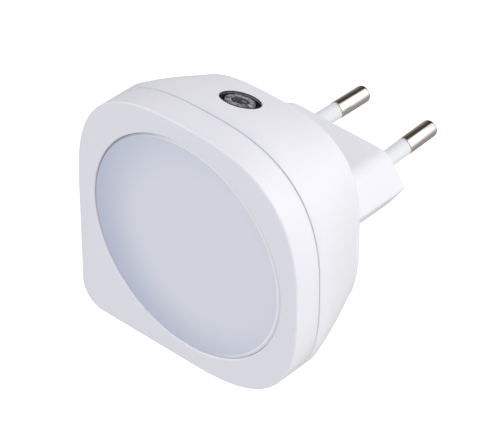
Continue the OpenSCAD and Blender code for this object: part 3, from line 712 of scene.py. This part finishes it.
opalRecipe = {
    "colour": colour(0.762, 0.782, 0.839), "shade": colour(0.753, 0.773, 0.831), "flowSize": 6,
    "roughness": 0.36, "grainSize": 0.5, "grainDetail": 4.0, "grainShine": 0.12, "grainStrength": 0.06,
    "grainHigh": 0.02, "gateColour": colour(0.74, 0.75, 0.81), "gateRange": (0.25, 0.6), "gateStrength": 0.25,
    # the rim colour is partly the opal's own tint and partly painted shade, pulled towards the lower left
    "rimShadeColour": colour(0.532, 0.584, 0.693), "rimShadeRange": (0.56, 1.32), "toLeft": (-0.92, -0.38),
    "leftShadePull": 0.30,
    # a painted highlight line along the panel's rounded edge
    "highlightColour": colour(0.90, 0.90, 0.93), "highlightWide": 0.78, "highlightSoft": 0.15, "highlightFade": (-0.6, 0.3),
    # a painted gap shadow line just inside the panel's edge
    "gapShadowColour": colour(0.34, 0.33, 0.36), "gapShadowWide": 0.45, "gapShadowSoft": 0.12, "gapShadowFoot": (-0.95, -0.65),
    "gapShadowFade": (-0.4, 0.7), "gapShadowLeast": 0.22, "hidden": 0.12,
}


def edgeLine(hidden, wide, soft):
    # from a width inside the panel's edge outward, over a soft start
    start = openingRadius - panel["clear"] - wide
    return smoothStep(hidden, start * mm, (start + soft) * mm)


def makeOpal():
    # milky panel, its rim bluer and darker, partly its own tint and partly painted shade that is strongest at
    # the lower left, with a gate mark, a painted highlight line and a painted gap shadow line round it
    material, place = startMaterial("opalPlastic")
    centred = place.add("ShaderNodeMapping", {}, {
        "Vector": place, "Location": (0, 0, -housing["dropToPins"] * mm)})
    across, _, height = split(centred)
    radius, scale = reach(centred, (1, 0, 1)), 1 / (openingRadius * mm)
    left, low = opalRecipe["toLeft"]
    toLeft = (across * left + height * low) * scale
    # painted shade at the rim, partly the opal's own tint, strongest at the lower left where the recess wall
    # shades it
    rim = smoothStep(radius * scale + toLeft * opalRecipe["leftShadePull"], *opalRecipe["rimShadeRange"])
    cloud = mix(noise(place, opalRecipe["flowSize"]), opalRecipe["colour"], opalRecipe["shade"])
    grain = noise(place, opalRecipe["grainSize"], opalRecipe["grainDetail"])
    gateStart, gateEnd = opalRecipe["gateRange"]
    gate = smoothStep(radius, gateStart * mm, gateEnd * mm, opalRecipe["gateStrength"], 0.0)
    # the opening hides more of the upper right, so both lines start further in there;
    # the painted highlight fades towards the lower left, the painted gap shadow towards the upper right
    hidden = radius - toLeft * (opalRecipe["hidden"] * mm)
    # painted highlight along the panel's rounded edge
    edge = edgeLine(hidden, opalRecipe["highlightWide"], opalRecipe["highlightSoft"])
    edge = edge * smoothStep(toLeft, *opalRecipe["highlightFade"], 1.0, 0.0)
    # painted gap shadow just inside the panel's edge, faded at the bottom and towards the upper right
    line = edgeLine(hidden, opalRecipe["gapShadowWide"], opalRecipe["gapShadowSoft"])
    line = line * smoothStep(height * scale, *opalRecipe["gapShadowFoot"])
    line = line * smoothStep(toLeft, *opalRecipe["gapShadowFade"], opalRecipe["gapShadowLeast"], 1.0)
    tint = mix(gate, mix(rim, cloud, opalRecipe["rimShadeColour"]), opalRecipe["gateColour"])
    return finishMaterial(material, place, {
        "Base Color": mix(line, mix(edge, tint, opalRecipe["highlightColour"]), opalRecipe["gapShadowColour"]),
        "Roughness": opalRecipe["roughness"] + (grain - 0.5) * opalRecipe["grainShine"],
        "Normal": bump(grain, opalRecipe["grainStrength"], opalRecipe["grainHigh"]),
    }, {"IOR": 1.49})


dress(makeOpal(), panelPiece)

nickelRecipe = {
    "light": colour(0.88, 0.855, 0.815), "dark": colour(0.80, 0.77, 0.72), "cloudSize": 2.2, "roughness": 0.12,
    "ringStretch": (0.02, 1, 0.02), "ringSize": 0.12, "ringShine": 0.06, "ringShare": 0.6,
    "hairStretch": (1, 0.04, 1), "hairSize": 0.16, "hairDetail": 1.0, "hairShine": 0.05, "hairShare": 0.4,
    "strength": 0.05, "high": 0.01,
}


def makeNickel():
    # turned and plated metal: fine rings round the pin, long hairlines and a slow cloud
    material, place = startMaterial("nickelPlate")
    rings = noise(stretch(place, nickelRecipe["ringStretch"]), nickelRecipe["ringSize"])
    hair = noise(stretch(place, nickelRecipe["hairStretch"]), nickelRecipe["hairSize"],
                 nickelRecipe["hairDetail"])
    shine = nickelRecipe["roughness"] + rings * nickelRecipe["ringShine"] + hair * nickelRecipe["hairShine"]
    relief = rings * nickelRecipe["ringShare"] + hair * nickelRecipe["hairShare"]
    return finishMaterial(material, place, {
        "Base Color": mix(noise(place, nickelRecipe["cloudSize"]), nickelRecipe["light"], nickelRecipe["dark"]),
        "Roughness": shine, "Normal": bump(relief, nickelRecipe["strength"], nickelRecipe["high"]),
    }, {"Metallic": 1.0})


dress(makeNickel(), *pinPieces)

sleeveRecipe = {
    **whiteRecipe, "colour": colour(0.80, 0.81, 0.825), "shade": colour(0.77, 0.78, 0.80), "flowSize": 3,
    "peelSize": 0.5, "roughness": 0.34,
}
dress(mouldedPlastic("sleevePlastic", sleeveRecipe, {"IOR": 1.5}), *sleevePieces)


def sensorPlace(place):
    # places measured from the window's middle, its normal the third axis
    moved = place.add("ShaderNodeVectorMath", {"operation": "SUBTRACT"}, {0: place, 1: sensorFrame[0]})
    return place.add("ShaderNodeVectorRotate", {"rotation_type": "X_AXIS"}, {"Vector": moved, "Angle": slope})


clearRecipe = {
    "clear": colour(0.96, 0.96, 0.98), "shade": colour(0.93, 0.93, 0.96), "grainSize": 0.8,
    "roughness": 0.02, "grainShine": 0.02, "side": colour(0.004, 0.004, 0.005), "sideRange": (4.02, 4.12),
}


def makeClear():
    # clear acrylic, black round its side; this black also reaches the outer edge of the top as a thin ring of
    # painted gap shadow
    material, place = startMaterial("clearAcrylic")
    grain = noise(place, clearRecipe["grainSize"])
    start, full = clearRecipe["sideRange"]
    # black side, which reaches the top's outer edge as a thin ring of painted gap shadow
    side = smoothStep(reach(sensorPlace(place), (1, 1, 0)), start * mm, full * mm)
    return finishMaterial(material, place, {
        "Base Color": mix(side, mix(grain, clearRecipe["clear"], clearRecipe["shade"]), clearRecipe["side"]),
        "Roughness": clearRecipe["roughness"] + grain * clearRecipe["grainShine"],
    }, {"IOR": 1.45, "Transmission Weight": 1.0})


dress(makeClear(), windowPiece)

ceramicRecipe = {
    "pale": colour(0.80, 0.80, 0.86), "shade": colour(0.12, 0.12, 0.14),
    "mottleSize": 0.9, "mottleDetail": 3.0, "mottleRange": (0.44, 0.60), "roughness": 0.45, "fieldShine": 0.2,
    "fieldRange": (-0.03, 0.07), "dark": colour(0.010, 0.010, 0.012), "line": colour(0.12, 0.11, 0.12),
    "pitch": 0.72, "slant": 0.35, "foldRange": (-0.2, 0.35),
    # the small bright glint on the track is a painted highlight
    "paintedGlint": colour(1.0, 1.0, 1.0), "glintAt": (0.55, 0.6), "glintWide": (0.35, 0.65), "glintHigh": (0.10, 0.22),
}


def stripe(value, middle, edge):
    # full round a middle, gone past its soft edge; all in millimetres
    return smoothStep(absolute(value - middle * mm), edge[0] * mm, edge[1] * mm, 1.0, 0.0)


def makeCeramic():
    # pale mottled ring round a dark field with a folded track and one bright painted highlight glint
    material, place = startMaterial("photocellFace")
    own = sensorPlace(place)
    across, along, _ = split(own)
    start, end = [photocell["track"] * mm + side * mm for side in ceramicRecipe["fieldRange"]]
    field = smoothStep(reach(own, (1, 1, 0)), start, end, 1.0, 0.0)
    turns = (across + along * ceramicRecipe["slant"]) * (2 * math.pi / (ceramicRecipe["pitch"] * mm))
    fold = place.add("ShaderNodeMath", {"operation": "SINE"}, {0: turns})
    dark = mix(smoothStep(fold, *ceramicRecipe["foldRange"]), ceramicRecipe["dark"], ceramicRecipe["line"])
    # painted highlight: one small bright glint on the track
    glintAcross, glintAlong = ceramicRecipe["glintAt"]
    paintedGlint = (stripe(along, glintAlong, ceramicRecipe["glintHigh"])
             * stripe(across, glintAcross, ceramicRecipe["glintWide"]))
    mottle = smoothStep(noise(place, ceramicRecipe["mottleSize"], ceramicRecipe["mottleDetail"]),
                        *ceramicRecipe["mottleRange"])
    return finishMaterial(material, place, {
        "Base Color": mix(field, mix(mottle, ceramicRecipe["pale"], ceramicRecipe["shade"]),
                          mix(paintedGlint, dark, ceramicRecipe["paintedGlint"])),
        "Roughness": ceramicRecipe["roughness"] - field * ceramicRecipe["fieldShine"],
    }, {"IOR": 1.5})


dress(makeCeramic(), photocellPiece)

blackRecipe = {
    **whiteRecipe, "colour": colour(0.012, 0.012, 0.014), "shade": colour(0.018, 0.018, 0.020), "flowSize": 3,
    "speckColour": colour(0.2, 0.2, 0.2), "speckSize": 0.3, "speck": 0.1,
    "peelSize": 0.4, "peelShine": 0.12, "peelStrength": 0.12, "roughness": 0.60,
}
dress(mouldedPlastic("blackPlastic", blackRecipe, {"IOR": 1.2}), cadNodes["light_shield"],
      cadNodes["bridge_rectifier"], cadNodes["transistor"], cadNodes["pin_retainer"])

trayRecipe = {
    **whiteRecipe, "colour": colour(0.90, 0.90, 0.89), "shade": colour(0.87, 0.87, 0.86), "flowSize": 8,
    "roughness": 0.5,
}
dress(mouldedPlastic("whiteTray", trayRecipe), cadNodes["reflector"])

metalRecipe = {"scratch": (1, 0.1, 1), "finer": 6, "detail": 3.0, "shine": 0.15, "strength": 0.08, "high": 0.01}


def makeMetal(name, light, dark, roughness, size):
    # bare metal with clouds of one size and finer scratches
    material, place = startMaterial(name)
    scratch = noise(stretch(place, metalRecipe["scratch"]), size / metalRecipe["finer"])
    return finishMaterial(material, place, {
        "Base Color": mix(noise(place, size, metalRecipe["detail"]), light, dark),
        "Roughness": roughness + scratch * metalRecipe["shine"],
        "Normal": bump(scratch, metalRecipe["strength"], metalRecipe["high"]),
    }, {"Metallic": 1.0})


dress(makeMetal("zincSteel", colour(0.62, 0.62, 0.60), colour(0.48, 0.48, 0.47), 0.28, 1.0),
      cadNodes["board_screws"], cadNodes["retainer_screw"])
dress(makeMetal("tinnedWire", colour(0.72, 0.71, 0.69), colour(0.58, 0.57, 0.56), 0.3, 0.6),
      cadNodes["photocell_leads"])

boardRecipe = {
    "mask": colour(0.70, 0.76, 0.70), "shade": colour(0.64, 0.71, 0.65), "run": colour(0.55, 0.60, 0.50),
    "runSize": 6, "runGap": 0.04, "runShare": 0.5, "runStrength": 0.2, "runHigh": 0.03,
    "weaveSize": 0.4, "weaveShine": 0.15, "roughness": 0.35,
}


def makeBoard():
    # solder mask over faint copper runs
    material, place = startMaterial("boardMask")
    turned = place.add("ShaderNodeMapping", {}, {"Vector": place, "Rotation": (math.radians(90), 0, 0)})
    runs = place.add("ShaderNodeTexBrick", {"offset": 0.5}, {
        "Vector": turned, "Scale": 1 / (boardRecipe["runSize"] * mm), "Mortar Size": boardRecipe["runGap"],
        "Color1": colour(1, 1, 1), "Color2": colour(1, 1, 1), "Mortar": colour(0, 0, 0)}, "Fac")
    weave = noise(place, boardRecipe["weaveSize"])
    mask = mix(weave, boardRecipe["mask"], boardRecipe["shade"])
    return finishMaterial(material, place, {
        "Base Color": mix(runs * boardRecipe["runShare"], mask, boardRecipe["run"]),
        "Roughness": boardRecipe["roughness"] + weave * boardRecipe["weaveShine"],
        "Normal": bump(runs, boardRecipe["runStrength"], boardRecipe["runHigh"]),
    }, {"IOR": 1.5})


dress(makeBoard(), cadNodes["circuit_board"])

bandRecipe = {
    "edge": (0.45, 0.55), "cloudSize": 0.7, "cloudShine": 0.1, "roughness": 0.3,
    "brown": colour(0.12, 0.05, 0.02), "black": colour(0.01, 0.01, 0.01), "red": colour(0.5, 0.03, 0.02),
    "gold": colour(0.45, 0.3, 0.08),
}


def banded(name, coat, shade, bands, width):
    # coloured rings at set places along the body, which lies along X
    material, place = startMaterial(name)
    across, cloud = split(place)[0], noise(place, bandRecipe["cloudSize"])
    tint = mix(cloud, coat, shade)
    for at, word in bands:
        band = stripe(across, at, [width * share for share in bandRecipe["edge"]])
        tint = mix(band, tint, bandRecipe[word])
    shine = bandRecipe["roughness"] + cloud * bandRecipe["cloudShine"]
    return finishMaterial(material, place, {"Base Color": tint, "Roughness": shine}, {"IOR": 1.5})


dress(banded("resistorCoat", colour(0.18, 0.38, 0.52), colour(0.15, 0.34, 0.48),
             [(-2.3, "brown"), (-1.1, "black"), (0, "red"), (2.3, "gold")], 0.5), cadNodes["resistors"])
dress(banded("fuseCoat", colour(0.42, 0.47, 0.42), colour(0.36, 0.42, 0.37),
             [(-3.2, "brown"), (-1.6, "red"), (3.2, "gold")], 0.7), cadNodes["fuse_resistor"])

filmRecipe = {
    **blackRecipe, "colour": colour(0.70, 0.48, 0.05), "shade": colour(0.62, 0.42, 0.04), "roughness": 0.25,
}
dress(mouldedPlastic("filmCapacitorCase", filmRecipe), cadNodes["dropper_capacitor"])

canRecipe = {
    "colour": colour(0.015, 0.018, 0.030), "shade": colour(0.022, 0.026, 0.040), "cloudSize": 0.8,
    "cloudShine": 0.1, "roughness": 0.3, "top": colour(0.75, 0.75, 0.76), "topRange": (-23.95, -23.85),
    "stripe": colour(0.5, 0.52, 0.55), "stripeRange": (-16.6, -16.4),
}


def makeCan():
    # dark shrink sleeve with a pale stripe, bare metal on top
    material, place = startMaterial("capacitorSleeve")
    across, depth, _ = split(place)
    cloud = noise(place, canRecipe["cloudSize"])
    top = smoothStep(depth, *[end * mm for end in canRecipe["topRange"]])
    pale = smoothStep(across, *[end * mm for end in canRecipe["stripeRange"]], 1.0, 0.0)
    body = mix(cloud, canRecipe["colour"], canRecipe["shade"])
    return finishMaterial(material, place, {
        "Base Color": mix(top, mix(pale, body, canRecipe["stripe"]), canRecipe["top"]),
        "Metallic": top, "Roughness": canRecipe["roughness"] + cloud * canRecipe["cloudShine"],
    }, {"IOR": 1.5})


dress(makeCan(), cadNodes["smoothing_capacitor"])

ledRecipe = {
    "package": colour(0.85, 0.85, 0.83), "phosphor": colour(0.85, 0.62, 0.10), "shade": colour(0.78, 0.55, 0.08),
    "facing": (0.8, 0.95), "grainSize": 0.2, "grainShine": 0.15, "roughness": 0.4,
}


def makeLed():
    # white package whose front is yellow phosphor
    material, place = startMaterial("ledPackage")
    normal = place.add("ShaderNodeNewGeometry", {}, {}, "Normal")
    front = smoothStep(split(normal)[1] * -1, *ledRecipe["facing"])
    grain = noise(place, ledRecipe["grainSize"])
    return finishMaterial(material, place, {
        "Base Color": mix(front, ledRecipe["package"], mix(grain, ledRecipe["phosphor"], ledRecipe["shade"])),
        "Roughness": ledRecipe["roughness"] + grain * ledRecipe["grainShine"],
    }, {"IOR": 1.5})


dress(makeLed(), cadNodes["leds"])

wireRecipe = {**blackRecipe, "roughness": 0.42, "peelSize": 0.25}
brownRecipe = {**wireRecipe, "colour": colour(0.16, 0.06, 0.02), "shade": colour(0.13, 0.05, 0.02)}
blueRecipe = {**wireRecipe, "colour": colour(0.02, 0.10, 0.42), "shade": colour(0.02, 0.08, 0.36)}
dress(mouldedPlastic("brownInsulation", brownRecipe), cadNodes["wire_live"])
dress(mouldedPlastic("blueInsulation", blueRecipe), cadNodes["wire_neutral"])
print("materials done")

# the sky's colour in six directions, then what only mirrored rays and rays through glass see: a dark card, whose
# limits are along the three axes, and a bright spot
sky = {
    "right": (1.23, 1.23, 1.24), "left": (0.56, 0.57, 0.60), "back": (1.20, 1.21, 1.23),
    "front": (1.10, 1.11, 1.18), "up": (0.21, 0.21, 0.24), "down": (0.60, 0.60, 0.60),
    "shine": colour(1, 1, 1), "cardX": (-0.06, 0.06), "cardY": (0.0, 0.3), "cardZ": (-0.25, 0.0),
    "cardLow": colour(0.34, 0.30, 0.27), "cardTop": colour(0.055, 0.042, 0.029), "cardRise": (0.1, 0.75),
    "flag": colour(0.010, 0.010, 0.011), "flagY": (0.62, 0.72),
    "gleam": colour(4.7, 4.7, 4.8), "gleamFrom": (-0.72, -0.50, 0.48), "gleamRange": (0.80, 0.92),
}
floorRecipe = {
    "drop": 0.5, "size": 8.0, "colour": colour(0.85, 0.85, 0.86), "glow": 0.6, "lift": 0.2,
    "shineNear": colour(0.40, 0.35, 0.31), "near": 0.3, "far": 3.0,
}
lampAim = Vector((0, -0.03, 0))
lamps = {
    "backLeft": {"from": (-0.27, 0.46, 0.32), "distance": 1.0, "size": 0.9, "brightness": 0.86,
                 "tint": (1, 1, 1), "mirrored": False},
    "highRight": {"from": (0.66, 0.31, 0.58), "distance": 1.0, "size": 0.9, "brightness": 1.36,
                  "tint": (1, 1, 0.95), "mirrored": True},
    "frontHigh": {"from": (-0.35, -0.65, 0.67), "distance": 1.0, "size": 0.3, "brightness": 3.2,
                  "tint": (1, 1, 1), "mirrored": True},
}


def lobe(way, part, sign, tint):
    # the square of one direction's share of the way; the six squares add up to one
    share = way.add("ShaderNodeMath", {"operation": "MAXIMUM"}, {0: part * sign, 1: 0.0})
    return way.add("ShaderNodeVectorMath", {"operation": "SCALE"}, {0: tint, "Scale": share * share})


def plus(first, second):
    return first.add("ShaderNodeVectorMath", {"operation": "ADD"}, {0: first, 1: second})


def makeWorld():
    world = bpy.data.worlds.new("studio")
    bpy.context.scene.world = world
    world.use_nodes = True
    tree = world.node_tree
    tree.nodes.clear()
    way = Signal(tree, tree.nodes.new("ShaderNodeTexCoord").outputs["Generated"])
    x, y, z = split(way)
    rays = way.add("ShaderNodeLightPath", {}, {}, "Is Camera Ray")
    isGlossy, isTransmission = rays.part("Is Glossy Ray"), rays.part("Is Transmission Ray")
    soft = lobe(way, x, 1, sky["right"])
    for part, sign, name in ((x, -1, "left"), (y, 1, "back"), (y, -1, "front"), (z, 1, "up"), (z, -1, "down")):
        soft = plus(soft, lobe(way, part, sign, sky[name]))
    # the card hangs behind the lamp, over its left, and its far side is black
    card = smoothStep(x, *sky["cardX"], 1.0, 0.0) * smoothStep(y, *sky["cardY"]) * smoothStep(z, *sky["cardZ"])
    cardTint = mix(smoothStep(z, *sky["cardRise"]), sky["cardLow"], sky["cardTop"])
    cardTint = mix(smoothStep(y, *sky["flagY"]), cardTint, sky["flag"])
    toGleam = way.add("ShaderNodeVectorMath", {"operation": "DOT_PRODUCT"}, {0: way, 1: sky["gleamFrom"]}, 1)
    shine = mix(smoothStep(toGleam, *sky["gleamRange"]), mix(card, sky["shine"], cardTint), sky["gleam"])
    seen = mix(isGlossy + isTransmission, soft, shine)
    seen = mix(rays, seen, colour(1, 1, 1))
    backdrop = way.add("ShaderNodeBackground", {}, {"Color": seen, "Strength": 1.0})
    way.add("ShaderNodeOutputWorld", {}, {"Surface": backdrop})


def makeFloor():
    freshSelection()
    bpy.ops.mesh.primitive_plane_add(size=floorRecipe["size"], location=(0, 0, -floorRecipe["drop"]))
    floor = bpy.context.object
    floor.name = "floor"
    material, place = startMaterial("paleFloor")
    rays = place.add("ShaderNodeLightPath", {}, {}, "Is Camera Ray")
    seen = rays + rays.part("Is Transmission Ray") + rays.part("Is Diffuse Ray") * floorRecipe["lift"]
    far = smoothStep(reach(place, (1, 1, 0)), floorRecipe["near"], floorRecipe["far"])
    shineTint = mix(far, floorRecipe["shineNear"], floorRecipe["colour"])
    cloth = place.add("ShaderNodeBsdfDiffuse", {}, {
        "Color": mix(rays.part("Is Glossy Ray"), floorRecipe["colour"], shineTint)}, "BSDF")
    glow = place.add("ShaderNodeEmission", {}, {
        "Color": colour(1, 1, 1), "Strength": floorRecipe["glow"]}, "Emission")
    both = place.add("ShaderNodeAddShader", {}, {0: cloth, 1: glow})
    shown = place.add("ShaderNodeMixShader", {}, {0: seen, 1: cloth, 2: both})
    place.add("ShaderNodeOutputMaterial", {}, {"Surface": shown})
    floor.data.materials.append(material)


def makeLamp(name, recipe):
    # brightness is what a mirror would show
    lampData = bpy.data.lights.new(name, "AREA")
    lampData.shape, lampData.size = "SQUARE", recipe["size"]
    lampData.energy = recipe["brightness"] * math.pi * recipe["size"] ** 2
    lampData.color = recipe["tint"]
    lamp = bpy.data.objects.new(name, lampData)
    toward = Vector(recipe["from"]).normalized()
    lamp.location = lampAim + toward * recipe["distance"]
    lamp.rotation_euler = toward.to_track_quat("Z", "Y").to_euler()
    lamp.visible_camera, lamp.visible_glossy = False, recipe["mirrored"]
    bpy.context.scene.collection.objects.link(lamp)


makeWorld()
makeFloor()
for name, recipe in lamps.items():
    makeLamp(name, recipe)
bpy.context.scene.view_settings.view_transform = "Standard"
print("studio lit")
